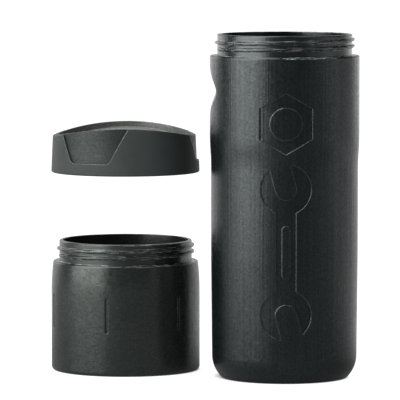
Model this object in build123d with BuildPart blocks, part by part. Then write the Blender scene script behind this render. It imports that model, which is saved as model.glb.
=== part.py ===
from build123d import *

import os
from math import asin, cos, degrees, radians, sin

# Storage canister for a bicycle bottle cage: a tall bottle, a short extension that screws onto it,
# and a screw cap that closes either of them. The bottle stands open on the right, the extension
# stands on the left, and the cap hangs above the extension by a whole number of thread turns.
# Millimetres, +Z up, origin on the floor at the middle of the whole set, front towards -Y.

# ---------------------------------------------------------------- driving dimensions
joint_radius = 37.5           # outside of the extension's and the cap's bottom faces
bottle_radius = 37.15         # outside of the bottle below its shoulder
bottle_height = 160.3         # base to shoulder
extension_height = 55.0       # bottom face to shoulder
neck_height = 10.5            # shoulder to rim, on both necks
neck_radius = 33.5
neck_bore_radius = 31.8
wall = 1.7
shoulder_edge = 0.7           # rounding of both shoulders
rim_edge = 0.5                # rounding of both rims
taper_bottom = 9.0            # below the shoulder, where the cavity starts to draw in to the bore
taper_top = 3.0               # below the shoulder, where it has reached the bore
taper_rounding = 3.0
spacing_x = 79.7              # between the bottle's axis and the extension's axis
spacing_y = 34.0              # the bottle stands this much further forward
cap_turns_open = 14           # whole thread turns that the cap is lifted by

# ---------------------------------------------------------------- screw thread, single start, right-handed
thread_lead = 3.2
thread_crest_radius = 34.7    # male ridge
socket_radius = 35.1          # female wall
socket_crest_radius = 33.9    # female ridge
socket_chamfer = 0.4          # lead-in round a socket's mouth
ridge_root_width = 2.0
ridge_crest_width = 0.9
ridge_bite = 0.3              # how far a ridge is sunk into its wall
run_out = 10.0                # degrees over which a ridge fades at each end
run_out_share = 0.15          # what is left of its section there
male_turns = 1.6
female_turns = 1.9
thread_azimuth = -165.0       # where both ridges start, counterclockwise from +X
male_start = 3.2              # height of the male ridge's start above the shoulder
female_start = male_start - thread_lead / 2
seat_gap = 0.1                # between a closed cap and the shoulder that it meets

# ---------------------------------------------------------------- bottle
waist_radius = 36.53          # straight stretch that the cage grips
waist_bottom = 60.0
waist_top = 104.0
upper_bottom = 121.0          # from here up the wall has the bottle's full radius
foot_radius = 36.05           # where the bottom corner starts
corner_height = 11.0
corner_radius = 15.3
foot_ring_inset = 4.6         # from the foot's radius in to where the bottom corner meets the flat
floor_thickness = 2.4
foot_hollow_radius = 24.0
foot_hollow_depth = 0.8
notch_top = 156.0             # cage notch in the bottle's left side
notch_apex = 142.2
notch_bottom = 129.5
notch_depth = 3.1
emblem_depth = 0.7

# ---------------------------------------------------------------- extension
shoulder_radius = 36.6
shoulder_ease = 16.0          # height over which the wall draws in to the shoulder
socket_depth = 12.0           # from the bottom face to the ledge that carries the seal
ledge_thickness = 1.6
groove_count = 6
groove_azimuth = -13.9        # of the first groove, from the front towards the right
groove_bottom = 21.4
groove_length = 17.8
groove_width = 1.6
groove_depth = 0.95

# ---------------------------------------------------------------- cap
cap_crown = 23.6              # height of the arched rim at the middle
cap_side = 18.1               # height of the arched rim at the left and right
cap_top_radius = 36.5         # the skirt draws in to this at the crown
ring_thickness = 1.15
recess_radius = 34.0          # sunken top
recess_crown = 20.8           # height of the sunken floor at the middle
recess_side = 14.5            # and at its left and right ends
crown_thickness = 1.8
crown_hollow_radius = 28.0
window_azimuths = (-29.0, 91.0, 211.0)   # from the front towards the right
window_bottom = 6.0
window_half_width = 10.8      # at the window's bottom
window_slope = 0.49           # how fast its sides spread with height
window_corner = 3.0
window_reach = 10.0           # how far a window's cut runs inwards and outwards of joint_radius

# ---------------------------------------------------------------- seals
seal_thickness = socket_depth - neck_height
seal_clearance = 0.15         # round the outside of a seal
seal_inner_radius = 31.9

# ---------------------------------------------------------------- places
radius_difference = joint_radius - bottle_radius     # shared out so that the set is centred
bottle_x = (spacing_x + radius_difference) / 2
bottle_y = -(spacing_y + radius_difference) / 2
extension_x = bottle_x - spacing_x
extension_y = bottle_y + spacing_y
cap_z = extension_height + seat_gap + cap_turns_open * thread_lead

bottle_axis = Axis((bottle_x, bottle_y, 0), (0, 0, 1))
bottle_section = Plane(origin=(bottle_x, bottle_y, 0), x_dir=(1, 0, 0), z_dir=(0, -1, 0))
extension_axis = Axis((extension_x, extension_y, 0), (0, 0, 1))
extension_section = Plane(origin=(extension_x, extension_y, 0), x_dir=(1, 0, 0), z_dir=(0, -1, 0))
cap_section = Plane(origin=(extension_x, extension_y, cap_z), x_dir=(1, 0, 0), z_dir=(0, -1, 0))

overrun = 5.0                 # how far a cutting block runs past what it cuts

os.makedirs("parts", exist_ok=True)


def round_corner(radius, height, size):
    """Round the corner of the current outline that lies nearest to (radius, height)."""
    fillet(vertices().sort_by_distance((radius, height))[0], size)


def facing_plane(x, y, z, azimuth, distance):
    """Upright plane facing outwards, at a distance from a vertical axis; azimuth 0 is the front."""
    outward = Vector(sin(radians(azimuth)), -cos(radians(azimuth)), 0)
    sideways = Vector(cos(radians(azimuth)), sin(radians(azimuth)), 0)
    return Plane(origin=Vector(x, y, z) + outward * distance, x_dir=sideways, z_dir=outward)


# ================================================================ thread ridges
def ridge_plane(azimuth, height):
    """Upright plane through the thread's axis with its x axis pointing outwards."""
    outward = Vector(cos(radians(azimuth)), sin(radians(azimuth)), 0)
    backward = Vector(sin(radians(azimuth)), -cos(radians(azimuth)), 0)
    return Plane(origin=(0, 0, height), x_dir=outward, z_dir=backward)


def ridge_section(foot, crest, share):
    """Trapezoid standing on its foot radius; share below 1 shrinks it towards the foot."""
    half_foot = ridge_root_width / 2 * share
    half_crest = ridge_crest_width / 2 * share
    top = foot + (crest - foot) * share
    with BuildSketch() as section:
        with BuildLine():
            Polyline((foot, -half_foot), (top, -half_crest), (top, half_crest), (foot, half_foot), close=True)
        make_face()
    return section.sketch


def thread_ridge(foot, crest, turns):
    """Helical ridge about Z that starts at azimuth 0 and height 0 and fades out at both ends."""
    rise = turns * thread_lead
    fade_rise = thread_lead * run_out / 360
    with BuildPart() as ridge:
        with BuildLine():
            path = Helix(pitch=thread_lead, height=rise, radius=crest)
        with BuildSketch(ridge_plane(0, 0)):
            add(ridge_section(foot, crest, 1))
        sweep(path=path, is_frenet=True)
        for azimuth, height, way in ((0, 0, -1), (360 * turns, rise, 1)):
            with BuildSketch(ridge_plane(azimuth, height)):
                add(ridge_section(foot, crest, 1))
            with BuildSketch(ridge_plane(azimuth + way * run_out, height + way * fade_rise)):
                add(ridge_section(foot, crest, run_out_share))
            loft()
    return ridge.part


male_ridge = thread_ridge(neck_radius - ridge_bite, thread_crest_radius, male_turns)
female_ridge = thread_ridge(socket_radius + ridge_bite, socket_crest_radius, female_turns)


# ================================================================ bottle
def bottle_half(grow):
    """Right-hand half of the bottle's body outline, moved outwards by grow."""
    centre = foot_radius - corner_radius
    start_angle = -degrees(asin(corner_height / (corner_radius + grow)))
    top_radius = bottle_radius + grow
    ease = (upper_bottom - waist_top) / 2
    with BuildSketch() as half:
        with BuildLine():
            corner = CenterArc((centre, corner_height), corner_radius + grow, start_angle, -start_angle)
            Line(corner @ 1, (waist_radius + grow, waist_bottom))
            Line((waist_radius + grow, waist_bottom), (waist_radius + grow, waist_top))
            Bezier(
                (waist_radius + grow, waist_top),
                (waist_radius + grow, waist_top + ease),
                (top_radius, upper_bottom - ease),
                (top_radius, upper_bottom),
            )
            Polyline(
                (top_radius, upper_bottom),
                (top_radius, bottle_height),
                (0, bottle_height),
                (0, 0),
                corner @ 0,
            )
        make_face()
    return half.sketch


def notch_block(inward):
    """Block that fills the cage notch and everything left of it, moved inwards by inward."""
    left = -bottle_radius - overrun
    edge = -bottle_radius + inward
    with BuildPart() as block:
        with BuildSketch(bottle_section):
            with BuildLine():
                Spline(
                    (edge, notch_top),
                    (edge + notch_depth, notch_apex),
                    (edge, notch_bottom),
                    tangents=((0, -1), (0, -1)),
                )
                Polyline((edge, notch_bottom), (left, notch_bottom), (left, notch_top), (edge, notch_top))
            make_face()
        extrude(amount=bottle_radius, both=True)
    return block.part


with BuildPart() as bottle_cavity:
    with BuildSketch(bottle_section):
        with BuildLine():
            Polyline(
                (0, floor_thickness),
                (foot_radius - corner_radius / 2, floor_thickness),
                (foot_radius - wall, corner_height),
                (waist_radius - wall, waist_bottom),
                (waist_radius - wall, waist_top),
                (bottle_radius - wall, upper_bottom),
                (bottle_radius - wall, bottle_height - taper_bottom),
                (neck_bore_radius, bottle_height - taper_top),
                (neck_bore_radius, bottle_height + neck_height),
                (0, bottle_height + neck_height),
                close=True,
            )
        make_face()
        round_corner(foot_radius - corner_radius / 2, floor_thickness, 6)
        round_corner(foot_radius - wall, corner_height, 12)
        round_corner(bottle_radius - wall, bottle_height - taper_bottom, taper_rounding)
        round_corner(neck_bore_radius, bottle_height - taper_top, taper_rounding)
    revolve(axis=bottle_axis)
    add(notch_block(wall), mode=Mode.SUBTRACT)

# Sunken emblem on the bottle's front: a hexagon nut over an open-ended spanner.
nut_height = 128.0
nut_radius = 15.0
nut_hole_radius = 8.0
handle_bottom = 34.0
handle_top = 96.0
handle_width = 10.0
handle_slot_width = 4.0
handle_slot_length = 26.0
jaw_radius = 12.5
jaw_gap = 10.5
jaw_tilt = 15.0               # degrees, as on a real open-ended spanner


def spanner_jaw(way):
    """Round spanner head at the origin, open upwards for way 1 and downwards for way -1."""
    with BuildSketch() as jaw:
        Circle(jaw_radius)
        with Locations((0, way * jaw_radius)):
            Rectangle(jaw_gap, 2 * jaw_radius, mode=Mode.SUBTRACT)
        Circle(jaw_gap / 2, mode=Mode.SUBTRACT)
    return jaw.sketch.rotate(Axis.Z, jaw_tilt)


with BuildPart() as bottle_emblem:
    with BuildSketch(bottle_section):
        with Locations((0, nut_height)):
            RegularPolygon(nut_radius, 6, rotation=30)
            Circle(nut_hole_radius, mode=Mode.SUBTRACT)
        with Locations((0, (handle_bottom + handle_top) / 2)):
            Rectangle(handle_width, handle_top - handle_bottom - 1.4 * jaw_radius)
            SlotOverall(handle_slot_length, handle_slot_width, rotation=90, mode=Mode.SUBTRACT)
        add(spanner_jaw(1).moved(Location((0, handle_top))))
        add(spanner_jaw(-1).moved(Location((0, handle_bottom))))
    extrude(amount=bottle_radius + overrun)
    with BuildSketch(bottle_section):
        add(bottle_half(-emblem_depth))
    revolve(axis=bottle_axis, mode=Mode.SUBTRACT)

with BuildPart() as bottle_shell:
    with BuildSketch(bottle_section):
        add(bottle_half(0))
        round_corner(bottle_radius, bottle_height, shoulder_edge)
        round_corner(foot_radius - foot_ring_inset, 0, 1.0)
    revolve(axis=bottle_axis)
    add(bottle_emblem.part, mode=Mode.SUBTRACT)
    add(notch_block(0), mode=Mode.SUBTRACT)
    with BuildSketch(bottle_section):
        with BuildLine():
            Polyline(
                (neck_bore_radius - overrun, bottle_height - 1),
                (neck_radius, bottle_height - 1),
                (neck_radius, bottle_height + neck_height),
                (neck_bore_radius - overrun, bottle_height + neck_height),
                close=True,
            )
        make_face()
        round_corner(neck_radius, bottle_height + neck_height, rim_edge)
    revolve(axis=bottle_axis)
    add(male_ridge.moved(Location((bottle_x, bottle_y, bottle_height + male_start), (0, 0, thread_azimuth))))
    add(bottle_cavity.part, mode=Mode.SUBTRACT)
    with BuildSketch(bottle_section):
        with BuildLine():
            Polyline(
                (0, 0),
                (foot_hollow_radius + foot_hollow_depth, 0),
                (foot_hollow_radius, foot_hollow_depth),
                (0, foot_hollow_depth),
                close=True,
            )
        make_face()
    revolve(axis=bottle_axis, mode=Mode.SUBTRACT)
bottle_shell.part.label = "bottle_shell"
export_step(bottle_shell.part, "parts/bottle_shell.step")


# ================================================================ extension
with BuildPart() as extension_shell:
    with BuildSketch(extension_section):
        with BuildLine():
            ease_start = extension_height - shoulder_ease
            Polyline((0, 0), (joint_radius, 0), (joint_radius, ease_start))
            Bezier(
                (joint_radius, ease_start),
                (joint_radius, ease_start + 0.45 * shoulder_ease),
                (shoulder_radius + 0.5, extension_height - 0.3 * shoulder_ease),
                (shoulder_radius, extension_height),
            )
            Polyline(
                (shoulder_radius, extension_height),
                (neck_radius, extension_height),
                (neck_radius, extension_height + neck_height),
                (0, extension_height + neck_height),
                (0, 0),
            )
        make_face()
        round_corner(joint_radius, 0, 1.5)
        round_corner(shoulder_radius, extension_height, shoulder_edge)
        round_corner(neck_radius, extension_height + neck_height, rim_edge)
    revolve(axis=extension_axis)
    male_place = Location((extension_x, extension_y, extension_height + male_start), (0, 0, thread_azimuth))
    add(male_ridge.moved(male_place))
    for groove in range(groove_count):
        azimuth = groove_azimuth + groove * 360 / groove_count
        middle = groove_bottom + groove_length / 2
        with BuildSketch(facing_plane(extension_x, extension_y, middle, azimuth, joint_radius)):
            SlotOverall(groove_length, groove_width, rotation=90)
        extrude(amount=-groove_depth, mode=Mode.SUBTRACT)
    with BuildSketch(extension_section):
        with BuildLine():
            Polyline(
                (0, 0),
                (socket_radius + socket_chamfer, 0),
                (socket_radius, socket_chamfer),
                (socket_radius, socket_depth),
                (neck_bore_radius, socket_depth),
                (neck_bore_radius, socket_depth + ledge_thickness),
                (joint_radius - wall, socket_depth + ledge_thickness),
                (joint_radius - wall, extension_height - taper_bottom),
                (neck_bore_radius, extension_height - taper_top),
                (neck_bore_radius, extension_height + neck_height),
                (0, extension_height + neck_height),
                close=True,
            )
        make_face()
        round_corner(joint_radius - wall, extension_height - taper_bottom, taper_rounding)
        round_corner(neck_bore_radius, extension_height - taper_top, taper_rounding)
    revolve(axis=extension_axis, mode=Mode.SUBTRACT)
    add(female_ridge.moved(Location((extension_x, extension_y, female_start), (0, 0, thread_azimuth))))
extension_shell.part.label = "extension_shell"
export_step(extension_shell.part, "parts/extension_shell.step")


def flat_seal(bottom):
    """Flat washer that lies under a ledge, from its bottom up by the seal's thickness."""
    with BuildPart() as seal:
        with BuildSketch(Plane.XY.offset(bottom)):
            with Locations((extension_x, extension_y)):
                Circle(socket_radius - seal_clearance)
                Circle(seal_inner_radius, mode=Mode.SUBTRACT)
        extrude(amount=seal_thickness)
    return seal.part


extension_seal = flat_seal(neck_height)
extension_seal.label = "extension_seal"
export_step(extension_seal, "parts/extension_seal.step")


# ================================================================ cap
def skirt_radius(height):
    """Outside radius of the cap at a height above its bottom face."""
    return joint_radius - (joint_radius - cap_top_radius) * height / cap_crown


def space_over_arch(half_width, crown, side):
    """Everything above an arch that runs through the cap from front to back."""
    top = cap_crown + overrun
    with BuildPart() as space:
        with BuildSketch(cap_section):
            with BuildLine():
                ThreePointArc((-half_width, side), (0, crown), (half_width, side))
                Polyline((half_width, side), (half_width, top), (-half_width, top), (-half_width, side))
            make_face()
        extrude(amount=joint_radius + overrun, both=True)
    return space.part


def cap_disc(radius):
    """Upright round block on the cap's axis, from the cap's bottom face to above its crown."""
    with BuildPart() as disc:
        with BuildSketch(Plane.XY.offset(cap_z)):
            with Locations((extension_x, extension_y)):
                Circle(radius)
        extrude(amount=cap_crown + overrun)
    return disc.part


space_over_rim = space_over_arch(joint_radius, cap_crown, cap_side)

with BuildPart() as cap_recess:
    add(space_over_arch(recess_radius, recess_crown, recess_side))
    add(cap_disc(recess_radius), mode=Mode.INTERSECT)

with BuildPart() as crown_hollow:
    add(cap_disc(crown_hollow_radius))
    add(space_over_arch(recess_radius, recess_crown - crown_thickness, recess_side - crown_thickness),
        mode=Mode.SUBTRACT)

with BuildPart() as cap_core:
    with BuildSketch(cap_section):
        with BuildLine():
            Polyline(
                (0, 0),
                (skirt_radius(0) - ring_thickness, 0),
                (skirt_radius(cap_crown) - ring_thickness, cap_crown),
                (0, cap_crown),
                close=True,
            )
        make_face()
    revolve(axis=extension_axis)
    add(space_over_rim, mode=Mode.SUBTRACT)
    add(cap_recess.part, mode=Mode.SUBTRACT)
    with BuildSketch(cap_section):
        with BuildLine():
            Polyline(
                (0, 0),
                (socket_radius + socket_chamfer, 0),
                (socket_radius, socket_chamfer),
                (socket_radius, socket_depth),
                (0, socket_depth),
                close=True,
            )
        make_face()
    revolve(axis=extension_axis, mode=Mode.SUBTRACT)
    add(crown_hollow.part, mode=Mode.SUBTRACT)
    add(female_ridge.moved(Location((extension_x, extension_y, cap_z + female_start), (0, 0, thread_azimuth))))
cap_core.part.label = "cap_core"
export_step(cap_core.part, "parts/cap_core.step")

with BuildPart() as cap_grip_ring:
    with BuildSketch(cap_section):
        with BuildLine():
            Polyline(
                (skirt_radius(0) - ring_thickness, 0),
                (skirt_radius(0), 0),
                (skirt_radius(cap_crown), cap_crown),
                (skirt_radius(cap_crown) - ring_thickness, cap_crown),
                close=True,
            )
        make_face()
        round_corner(skirt_radius(0), 0, 0.8)
    revolve(axis=extension_axis)
    add(space_over_rim, mode=Mode.SUBTRACT)
    for azimuth in window_azimuths:
        with BuildSketch(facing_plane(extension_x, extension_y, cap_z, azimuth, joint_radius - window_reach)):
            top = cap_crown + overrun
            top_half_width = window_half_width + window_slope * (top - window_bottom)
            with BuildLine():
                Polyline(
                    (-top_half_width, top),
                    (-window_half_width, window_bottom),
                    (window_half_width, window_bottom),
                    (top_half_width, top),
                    close=True,
                )
            make_face()
            round_corner(-window_half_width, window_bottom, window_corner)
            round_corner(window_half_width, window_bottom, window_corner)
        extrude(amount=2 * window_reach, mode=Mode.SUBTRACT)
cap_grip_ring.part.label = "cap_grip_ring"
export_step(cap_grip_ring.part, "parts/cap_grip_ring.step")

cap_seal = flat_seal(cap_z + neck_height)
cap_seal.label = "cap_seal"
export_step(cap_seal, "parts/cap_seal.step")
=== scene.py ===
"""Looks of the bottle-cage canister: moulded black plastics, studio light and camera."""
import math

import bpy
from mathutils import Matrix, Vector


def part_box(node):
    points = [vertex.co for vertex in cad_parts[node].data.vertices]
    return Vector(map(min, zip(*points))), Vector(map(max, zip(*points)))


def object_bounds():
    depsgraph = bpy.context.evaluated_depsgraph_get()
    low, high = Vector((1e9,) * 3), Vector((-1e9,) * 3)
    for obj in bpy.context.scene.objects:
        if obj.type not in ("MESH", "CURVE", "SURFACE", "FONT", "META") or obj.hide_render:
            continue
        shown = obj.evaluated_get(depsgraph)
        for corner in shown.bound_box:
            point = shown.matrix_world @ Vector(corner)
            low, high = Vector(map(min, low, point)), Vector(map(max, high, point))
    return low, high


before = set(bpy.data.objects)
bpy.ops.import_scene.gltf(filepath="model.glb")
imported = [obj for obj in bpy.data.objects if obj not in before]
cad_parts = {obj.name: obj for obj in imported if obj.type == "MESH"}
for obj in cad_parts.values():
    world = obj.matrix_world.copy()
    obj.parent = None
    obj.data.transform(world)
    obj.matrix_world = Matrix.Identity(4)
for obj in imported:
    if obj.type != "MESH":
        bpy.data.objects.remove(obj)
cad_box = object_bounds()
scene = bpy.context.scene

# ---------------------------------------------------------------- places taken from the frame
bottle_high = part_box("bottle_shell")[1]
extension_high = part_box("extension_shell")[1]
cap_low, cap_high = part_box("cap_core")
cap_middle = (cap_low + cap_high) / 2
middle = (cad_box[0] + cad_box[1]) / 2

# ---------------------------------------------------------------- sizes of the part, in metres
neck_height = 0.0105          # shoulder to rim
recess_radius = 0.034         # sunken top of the cap
recess_depth = 0.0095         # from its crown down to below the ends of its floor


# ================================================================ building blocks of the materials
def shader(name):
    """New material with its Principled node; returns the material, its tree and that node."""
    material = bpy.data.materials.new(name)
    material.use_nodes = True
    tree = material.node_tree
    return material, tree, tree.nodes["Principled BSDF"]


def object_coordinates(tree, stretch=(1, 1, 1)):
    """Coordinates in metres that move with the piece, stretched for streaky patterns."""
    source = tree.nodes.new("ShaderNodeTexCoord")
    mapping = tree.nodes.new("ShaderNodeMapping")
    mapping.inputs["Scale"].default_value = stretch
    tree.links.new(source.outputs["Object"], mapping.inputs["Vector"])
    return mapping.outputs["Vector"]


def noise(tree, scale, detail=2.0, roughness=0.5, stretch=(1, 1, 1)):
    """Noise that is fixed to the piece, mostly between 0.3 and 0.7; scale is how fine it is, per metre."""
    node = tree.nodes.new("ShaderNodeTexNoise")
    node.inputs["Scale"].default_value = scale
    node.inputs["Detail"].default_value = detail
    node.inputs["Roughness"].default_value = roughness
    tree.links.new(object_coordinates(tree, stretch), node.inputs["Vector"])
    return node.outputs["Fac"]


def spread(tree, value, low, high, from_low=0.3, from_high=0.7):
    """Value stretched from the usual range of noise, or another, to between low and high."""
    node = tree.nodes.new("ShaderNodeMapRange")
    node.inputs["From Min"].default_value = from_low
    node.inputs["From Max"].default_value = from_high
    node.inputs["To Min"].default_value = low
    node.inputs["To Max"].default_value = high
    tree.links.new(value, node.inputs["Value"])
    return node.outputs["Result"]


def colour_between(tree, value, first, second):
    """Colour from first, which may be a node's output, to second as the value goes from 0 to 1."""
    node = tree.nodes.new("ShaderNodeMix")
    node.data_type = "RGBA"
    colour_a, colour_b = node.inputs[6], node.inputs[7]
    if isinstance(first, tuple):
        colour_a.default_value = (*first, 1)
    else:
        tree.links.new(first, colour_a)
    colour_b.default_value = (*second, 1)
    tree.links.new(value, node.inputs["Factor"])
    colour_result = node.outputs[2]
    return colour_result


def bump(tree, height, distance, normal=None):
    """Normal of a surface raised by a height from 0 to 1 times a distance in metres."""
    node = tree.nodes.new("ShaderNodeBump")
    node.inputs["Strength"].default_value = 1.0
    node.inputs["Distance"].default_value = distance
    tree.links.new(height, node.inputs["Height"])
    if normal:
        tree.links.new(normal, node.inputs["Normal"])
    return node.outputs["Normal"]


def soft_edges(tree, radius):
    """Normal that rounds every edge by a moulding radius."""
    node = tree.nodes.new("ShaderNodeBevel")
    node.samples = 8
    node.inputs["Radius"].default_value = radius
    return node.outputs["Normal"]


edge_agreement = 0.86         # between the rounded and the real normal, where an edge counts in full
flat_agreement = 0.985        # and where it no longer counts


def near_edge(tree, rounded):
    """0 on open surfaces and up to 1 on edges, where the rounded normal leaves the real one."""
    geometry = tree.nodes.new("ShaderNodeNewGeometry")
    agreement = tree.nodes.new("ShaderNodeVectorMath")
    agreement.operation = "DOT_PRODUCT"
    tree.links.new(rounded, agreement.inputs[0])
    tree.links.new(geometry.outputs["True Normal"], agreement.inputs[1])
    return spread(tree, agreement.outputs["Value"], 1, 0, edge_agreement, flat_agreement)


def above(tree, height, blend=0.0006):
    """0 below a height and 1 above it, in the piece's own coordinates."""
    split = tree.nodes.new("ShaderNodeSeparateXYZ")
    tree.links.new(object_coordinates(tree), split.inputs["Vector"])
    return spread(tree, split.outputs["Z"], 0, 1, height - blend, height + blend)


def from_axis(tree, centre):
    """Distance from an upright axis, in the piece's own coordinates."""
    flat = tree.nodes.new("ShaderNodeVectorMath")
    flat.operation = "MULTIPLY"
    flat.inputs[1].default_value = (1, 1, 0)
    tree.links.new(object_coordinates(tree), flat.inputs[0])
    distance = tree.nodes.new("ShaderNodeVectorMath")
    distance.operation = "DISTANCE"
    distance.inputs[1].default_value = (centre[0], centre[1], 0)
    tree.links.new(flat.outputs["Vector"], distance.inputs[0])
    return distance.outputs["Value"]


def within(tree, centre, radius, blend=0.0002):
    """1 nearer than a radius to an upright axis and 0 further out."""
    return spread(tree, from_axis(tree, centre), 1, 0, radius - blend, radius + blend)


upright_limit = 0.10          # upward part of the normal up to which a surface counts as upright
sloped_limit = 0.30           # and from which it doesn't


def upright(tree):
    """1 where the surface is upright and 0 where it slopes, as in the cage notch."""
    geometry = tree.nodes.new("ShaderNodeNewGeometry")
    split = tree.nodes.new("ShaderNodeSeparateXYZ")
    tree.links.new(geometry.outputs["True Normal"], split.inputs["Vector"])
    slope = tree.nodes.new("ShaderNodeMath")
    slope.operation = "ABSOLUTE"
    tree.links.new(split.outputs["Z"], slope.inputs[0])
    return spread(tree, slope.outputs["Value"], 1, 0, upright_limit, sloped_limit)


def mixed(tree, factor, first, second):
    """Number that goes from first to second as the factor goes from 0 to 1."""
    node = tree.nodes.new("ShaderNodeMix")
    for socket, value in (("A", first), ("B", second)):
        if isinstance(value, (int, float)):
            node.inputs[socket].default_value = value
        else:
            tree.links.new(value, node.inputs[socket])
    tree.links.new(factor, node.inputs["Factor"])
    return node.outputs["Result"]


# ================================================================ plastics
# How fine the patterns are, as noise scales per metre.
cloud_scale = 60              # lighter and darker patches of colour
patch_scale = 420             # rougher and smoother patches
rub_and_highlight_scale = 640               # breaks in the rubbed edges and in their painted highlights
peel_scale = 760              # orange peel
pale_top_scale = 900             # paler speckles on the cap's sunken top, partly wear and partly painted light
speckle_scale = 1150          # speckles in the sheen
grain_scale = 2600            # the finest roughness
painted_glint_pattern = (190, 190, 3200)  # long along the thread, fine across it

hard_speckles = (0.38, 0.62)  # range of noise that gives well-defined speckles
painted_glint_speckles = (0.50, 0.62)  # and that leaves painted glints on less than half of an edge
rub_and_highlight_share = 0.25              # least rubbed and painted-highlit stretch of an edge, where 1 is the most
pale_top_share = 0.45            # least pale spot of the sunken top, likewise
mark_share = 0.45             # how far a drag mark takes the sheen towards its duller one
mark_gloss = 0.4              # that duller sheen, as a share of the lowest gloss
no_mark = 0.5                 # middle of the drag marks' noise, for where there are none
neck_polish_and_glint_reach = 0.0010     # the polish and the painted glints take in the shoulder's edge
neck_roughness = 0.24
neck_gloss = 0.70
rubbed_roughness = 0.22
rubbed_gloss = 0.95
# near-white colour of the painted glints on the thread's edges
painted_glint_colour = (0.62, 0.63, 0.60)
# paler colour of the sunken top and its inner wall: partly a worn finish, partly painted light from above
top_wear_and_painted_light_colour = (0.190, 0.192, 0.178)
pale_top_roughness = 0.30
pale_top_gloss = 0.75


def moulded_plastic(
    name, colours, tint, roughness, gloss, peel, grain, drag, drag_pattern, edge,
    neck_from=None, paler_region=None,
):
    """Black moulding: cloudy colour, speckled sheen, orange peel, drag marks and rounded edges, rubbed and
    painted lighter.

    colours are the darkest, the lightest and that of a rubbed edge, which is lighter partly as wear and
    partly as a painted highlight. tint colours the sheen. roughness and gloss are the lowest and highest.
    peel, grain and drag are bump heights in metres, and drag_pattern is how fine the drag marks are along
    each axis. edge is the radius of the rounded edges. Above neck_from, where the thread is, the moulding
    is more polished and its edges carry painted glints in near-white specks. The last argument picks a
    region that is made paler in speckles, partly as a worn finish and partly as painted light.
    """
    material, tree, principled = shader(name)
    rounded = soft_edges(tree, edge)
    on_edge = near_edge(tree, rounded)
    rubbed_and_highlit = mixed(tree, on_edge, 0, spread(tree, noise(tree, rub_and_highlight_scale, 3, 0.6), rub_and_highlight_share, 1))
    clouds = spread(tree, noise(tree, cloud_scale, 3), 0, 1)
    colour = colour_between(tree, clouds, colours[0], colours[1])
    # rubbed edges: a lighter colour, partly wear and partly a painted highlight along every edge
    colour = colour_between(tree, rubbed_and_highlit, colour, colours[2])
    principled.inputs["Specular Tint"].default_value = (*tint, 1)

    marks = mixed(tree, upright(tree), no_mark, noise(tree, 1, 3, 0.6, drag_pattern))
    surface_roughness = spread(tree, noise(tree, patch_scale, 4, 0.6), *roughness)
    sheen = spread(tree, noise(tree, speckle_scale, 3, 0.65), *gloss, *hard_speckles)
    sheen = mixed(tree, spread(tree, marks, 0, mark_share), sheen, gloss[0] * mark_gloss)
    if neck_from is not None:
        neck = above(tree, neck_from - neck_polish_and_glint_reach)
        surface_roughness = mixed(tree, neck, surface_roughness, neck_roughness)
        sheen = mixed(tree, neck, sheen, neck_gloss)
        # painted glints: near-white specks along the edges of the thread and the shoulder
        painted_glints = spread(tree, noise(tree, 1, 3, 0.6, painted_glint_pattern), 0, 1, *painted_glint_speckles)
        painted_glints = mixed(tree, neck, 0, mixed(tree, on_edge, 0, painted_glints))
        colour = colour_between(tree, painted_glints, colour, painted_glint_colour)
    if paler_region is not None:
        # paler speckles in the given region: partly a worn finish, partly painted light on the sunken top
        # and its inner wall
        top_wear_and_painted_light = spread(tree, noise(tree, pale_top_scale, 4, 0.7), pale_top_share, 1, *hard_speckles)
        top_wear_and_painted_light = mixed(tree, paler_region(tree), 0, top_wear_and_painted_light)
        colour = colour_between(tree, top_wear_and_painted_light, colour, top_wear_and_painted_light_colour)
        surface_roughness = mixed(tree, top_wear_and_painted_light, surface_roughness, pale_top_roughness)
        sheen = mixed(tree, top_wear_and_painted_light, sheen, pale_top_gloss)
    tree.links.new(colour, principled.inputs["Base Color"])
    surface_roughness = mixed(tree, rubbed_and_highlit, surface_roughness, rubbed_roughness)
    tree.links.new(surface_roughness, principled.inputs["Roughness"])
    sheen = mixed(tree, rubbed_and_highlit, sheen, rubbed_gloss)
    tree.links.new(sheen, principled.inputs["Specular IOR Level"])

    normal = bump(tree, noise(tree, peel_scale, 2, 0.5), peel, rounded)
    normal = bump(tree, noise(tree, grain_scale, 3, 0.6), grain, normal)
    normal = bump(tree, marks, drag, normal)
    tree.links.new(normal, principled.inputs["Normal"])
    return material


def body_plastic(name, shoulder, darkest, lightest, tint, drag, drag_pattern):
    """The bottle's and the extension's plastic, more polished from the shoulder up."""
    # lighter colour of the rubbed edges: partly wear, partly a painted highlight
    rubbed_and_highlit_colour = (0.045, 0.052, 0.050)
    return moulded_plastic(
        name, colours=(darkest, lightest, rubbed_and_highlit_colour), tint=tint,
        roughness=(0.22, 0.34), gloss=(0.44, 0.78), peel=0.000040, grain=0.000006,
        drag=drag, drag_pattern=drag_pattern, edge=0.0005, neck_from=shoulder,
    )


def sunken_top(tree):
    """1 in the cap's sunken top and 0 elsewhere."""
    return mixed(tree, above(tree, cap_high.z - recess_depth), 0, within(tree, cap_middle, recess_radius))


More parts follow.
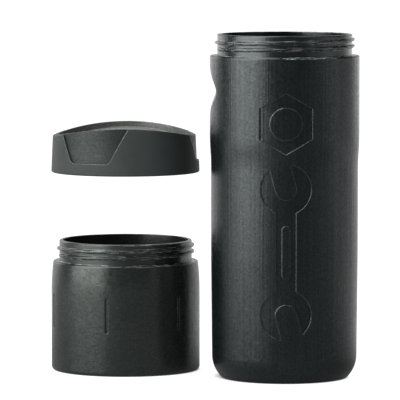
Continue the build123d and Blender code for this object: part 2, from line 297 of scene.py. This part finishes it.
bottle_plastic = body_plastic(
    "bottle plastic", bottle_high.z - neck_height, tint=(0.91, 1.0, 0.99),
    darkest=(0.0018, 0.0034, 0.0038), lightest=(0.0034, 0.0052, 0.0056),
    drag=0.00011, drag_pattern=(900, 900, 5),
)
extension_plastic = body_plastic(
    "extension plastic", extension_high.z - neck_height, tint=(0.93, 1.0, 0.96),
    darkest=(0.0082, 0.0108, 0.0096), lightest=(0.0112, 0.0142, 0.0128),
    drag=0.00004, drag_pattern=(340, 340, 900),
)
core_plastic = moulded_plastic(
    "cap core plastic", tint=(0.94, 1.0, 0.98),
    # the third colour is that of the rubbed edges, partly a painted highlight
    colours=((0.016, 0.020, 0.019), (0.026, 0.030, 0.028), (0.090, 0.098, 0.093)),
    roughness=(0.38, 0.50), gloss=(0.17, 0.38), peel=0.00002, grain=0.00001,
    drag=0.00016, drag_pattern=(90, 90, 850), edge=0.0005, paler_region=sunken_top,
)
grip_plastic = moulded_plastic(
    "cap grip plastic", tint=(0.94, 1.0, 0.98),
    # the third colour is that of the rubbed edges, partly a painted highlight
    colours=((0.034, 0.039, 0.038), (0.041, 0.047, 0.046), (0.120, 0.127, 0.121)),
    roughness=(0.50, 0.60), gloss=(0.11, 0.19), peel=0.00002, grain=0.00001,
    drag=0.00001, drag_pattern=(26, 26, 1100), edge=0.0006,
)


# ================================================================ seals
dust_scale = 700
rubber_grain_scale = 1500
rubber_grain = 0.00004
rubber_edge = 0.0003


def seal_rubber():
    """Dull black rubber with a little dust on it."""
    material, tree, principled = shader("seal rubber")
    dust = spread(tree, noise(tree, dust_scale, 3, 0.6), 0, 1)
    colour = colour_between(tree, dust, (0.012, 0.012, 0.012), (0.022, 0.022, 0.021))
    tree.links.new(colour, principled.inputs["Base Color"])
    principled.inputs["Roughness"].default_value = 0.7
    normal = bump(tree, noise(tree, rubber_grain_scale, 3), rubber_grain, soft_edges(tree, rubber_edge))
    tree.links.new(normal, principled.inputs["Normal"])
    return material


# ================================================================ materials on their pieces
def paint(node, material):
    """Give every material slot of a CAD node the same material."""
    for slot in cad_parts[node].material_slots:
        slot.link = "OBJECT"
        slot.material = material


rubber = seal_rubber()
for node, material in (
    ("bottle_shell", bottle_plastic),
    ("extension_shell", extension_plastic),
    ("cap_core", core_plastic),
    ("cap_grip_ring", grip_plastic),
    ("cap_seal", rubber),
    ("extension_seal", rubber),
):
    paint(node, material)


# ================================================================ floor and world
floor_radius = 30             # far enough to pass the horizon of every view
floor_drop = 0.0002           # how far the floor lies below the undersides
floor_grey = 0.08
floor_roughness = 0.9
enclosure_reach = 0.12        # how far away walls still count as closing the floor in
enclosed_brightness = 0.08    # share of its brightness that the floor keeps there, as painted shade
enclosed_sky = 0.05           # open share of the sky up to which the floor counts as closed in
open_sky = 0.35               # and from which it counts as open
brighter_towards = (0.5, 1, 0)  # direction in which the mirrored floor grows brighter
brighter_from = 0.02          # place along that direction where it starts
brighter_to = 0.25            # and where it is complete


def level_by_ray(tree, ray_kind, otherwise, for_kind):
    """Strength that is for_kind for one kind of ray, as for a mirrored view, and otherwise for the rest."""
    ray = tree.nodes.new("ShaderNodeLightPath")
    return mixed(tree, ray.outputs[ray_kind], otherwise, for_kind)


def open_above(tree):
    """Painted shade on the floor's glow: 1 on open floor and near 0 where walls close it in, as inside the
    standing extension.
    """
    occlusion = tree.nodes.new("ShaderNodeAmbientOcclusion")
    occlusion.samples = 16
    occlusion.inputs["Distance"].default_value = enclosure_reach
    return spread(tree, occlusion.outputs["AO"], enclosed_brightness, 1, enclosed_sky, open_sky)


def make_floor(brightness, mirrored_front, mirrored_back, pool, pool_radius, pool_brightness):
    """Pale floor that reaches past the horizon of every view.

    Where the plastics mirror it, it is dim in front of the object, brighter behind it on the right, and
    brighter too in the pool of light in front of the key softbox.
    """
    bpy.ops.mesh.primitive_circle_add(
        vertices=96, radius=floor_radius, fill_type="NGON", location=(0, 0, -floor_drop),
    )
    floor = bpy.context.object
    floor.name = "studio_floor"
    material, tree, principled = shader("pale floor")
    principled.inputs["Base Color"].default_value = (floor_grey, floor_grey, floor_grey, 1)
    principled.inputs["Roughness"].default_value = floor_roughness
    principled.inputs["Emission Color"].default_value = (1, 1, 1, 1)
    backward = tree.nodes.new("ShaderNodeVectorMath")
    backward.operation = "DOT_PRODUCT"
    backward.inputs[1].default_value = brighter_towards
    tree.links.new(object_coordinates(tree), backward.inputs[0])
    mirrored = spread(
        tree, backward.outputs["Value"], mirrored_front, mirrored_back, brighter_from, brighter_to,
    )
    pool_core = pool_radius / 3
    in_pool = spread(tree, from_axis(tree, pool), 1, 0, pool_core, pool_radius)
    mirrored = mixed(tree, in_pool, mirrored, pool_brightness)
    strength = level_by_ray(tree, "Is Glossy Ray", brightness, mirrored)
    # painted shade: the floor's glow dims where walls close it in
    strength = mixed(tree, open_above(tree), 0, strength)
    tree.links.new(strength, principled.inputs["Emission Strength"])
    floor.data.materials.append(material)


def make_world(seen, cast):
    """White surroundings to look at, dim ones to light the object by."""
    world = bpy.data.worlds.new("studio")
    world.use_nodes = True
    tree = world.node_tree
    background = tree.nodes["Background"]
    tree.links.new(level_by_ray(tree, "Is Camera Ray", cast, seen), background.inputs["Strength"])
    background.inputs["Color"].default_value = (1, 1, 1, 1)
    scene.world = world


# ================================================================ lights
def around(azimuth, distance, height):
    """Place at a level distance from the middle; azimuth 0 is the front, positive to the right."""
    turn = math.radians(azimuth)
    return (middle.x + distance * math.sin(turn), middle.y - distance * math.cos(turn), height)


def area_light(name, size, radiance, location, rotation):
    """Rectangular light that the camera doesn't see; its radiance is that of its surface."""
    data = bpy.data.lights.new(name, "AREA")
    data.shape = "RECTANGLE"
    data.size, data.size_y = size
    data.energy = radiance * math.pi * size[0] * size[1]
    light = bpy.data.objects.new(name, data)
    scene.collection.objects.link(light)
    light.location = location
    light.rotation_euler = rotation
    light.visible_camera = False


def softbox(name, azimuth, distance, low, high, width, radiance):
    """Upright soft light that faces the object, with its lower and upper edge at low and high."""
    location = around(azimuth, distance, (low + high) / 2)
    rotation = (math.radians(90), 0, math.radians(azimuth))
    area_light(name, (width, high - low), radiance, location, rotation)


def high_light(name, azimuth, elevation, distance, size, radiance):
    """Soft light above the object that points down at it from an elevation in degrees."""
    rise = math.radians(elevation)
    location = around(azimuth, distance * math.cos(rise), middle.z + distance * math.sin(rise))
    rotation = (math.radians(90) - rise, 0, math.radians(azimuth))
    area_light(name, size, radiance, location, rotation)


key_azimuth = -62
make_floor(
    brightness=1.06, mirrored_front=0.17, mirrored_back=0.68,
    pool=around(key_azimuth, 1.0, 0), pool_radius=0.85, pool_brightness=1.8,
)
make_world(seen=1.05, cast=0.04)
softbox("key softbox", key_azimuth, 1.5, low=0.03, high=1.15, width=1.55, radiance=5.2)
softbox("white backdrop", 180, 1.9, low=0.0, high=1.2, width=4.6, radiance=0.72)
softbox("left rim light", -132, 1.9, low=0.08, high=1.0, width=0.9, radiance=1.2)
softbox("fill light", 66, 1.7, low=0.0, high=1.0, width=1.6, radiance=0.38)
area_light(
    "top softbox", size=(1.1, 0.75), radiance=8.0,
    location=(middle.x - 0.65, middle.y - 0.15, 1.4), rotation=(0, 0, 0),
)
high_light("left high light", -36, 45, 1.85, size=(1.2, 0.8), radiance=2.6)
high_light("right high light", 50, 52, 1.85, size=(0.8, 0.8), radiance=3.0)

# ================================================================ camera
camera_distance = 2.04
camera_height = 0.247
camera_shift_right = -0.002
camera_pitch = 4.49           # degrees below the horizontal
sensor_width = 36             # millimetres, as is the focal length
focal_length = 367
camera = bpy.data.objects.new("camera", bpy.data.cameras.new("camera"))
scene.collection.objects.link(camera)
camera.data.sensor_width = sensor_width
camera.data.lens = focal_length
camera.location = (middle.x + camera_shift_right, middle.y - camera_distance, camera_height)
camera.rotation_euler = (math.radians(90 - camera_pitch), 0, 0)
camera.data.clip_start = 0.05
camera.data.clip_end = 100
scene.camera = camera
scene.view_settings.view_transform = "Standard"
